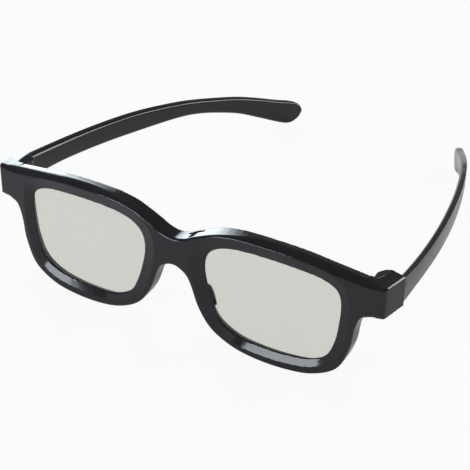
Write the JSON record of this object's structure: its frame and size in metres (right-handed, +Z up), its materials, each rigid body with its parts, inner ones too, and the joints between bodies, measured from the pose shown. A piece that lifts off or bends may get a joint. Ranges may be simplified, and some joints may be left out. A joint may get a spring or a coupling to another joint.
{
  "type": "3d glasses",
  "caption": "Glossy black passive 3-D cinema glasses: a curved front of two shells holds layered film lenses, and bowed temples fold on moulded hinges.",
  "frame": {"origin": "middle of the glasses' box, on the surface that the rims and temple tips rest on", "axes": "+X to the wearer's left, +Y from the front to the temple tips, +Z up"},
  "size_m": [0.1468, 0.166, 0.0463],
  "materials": {
    "black_plastic": "glossy injection-moulded black",
    "lens_film": "smooth neutral grey film"
  },
  "bodies": {
    "frame": {"front_frame": "black_plastic", "rear_frame": "black_plastic", "left_retarder_film": "lens_film", "right_retarder_film": "lens_film", "left_polariser_film": "lens_film", "right_polariser_film": "lens_film"},
    "left_arm": {"left_temple": "black_plastic"},
    "right_arm": {"right_temple": "black_plastic"}
  },
  "joints": [
    {"name": "left_temple_fold", "type": "hinge", "parent": "frame", "child": "left_arm", "pos_m": [0.0686, -0.06849, 0.03458], "axis": [0, -0.0538, 0.9986], "range_deg": [0, 80]},
    {"name": "right_temple_fold", "type": "hinge", "parent": "frame", "child": "right_arm", "pos_m": [-0.0686, -0.06849, 0.03458], "axis": [0, 0.0538, -0.9986], "range_deg": [0, 75]}
  ]
}
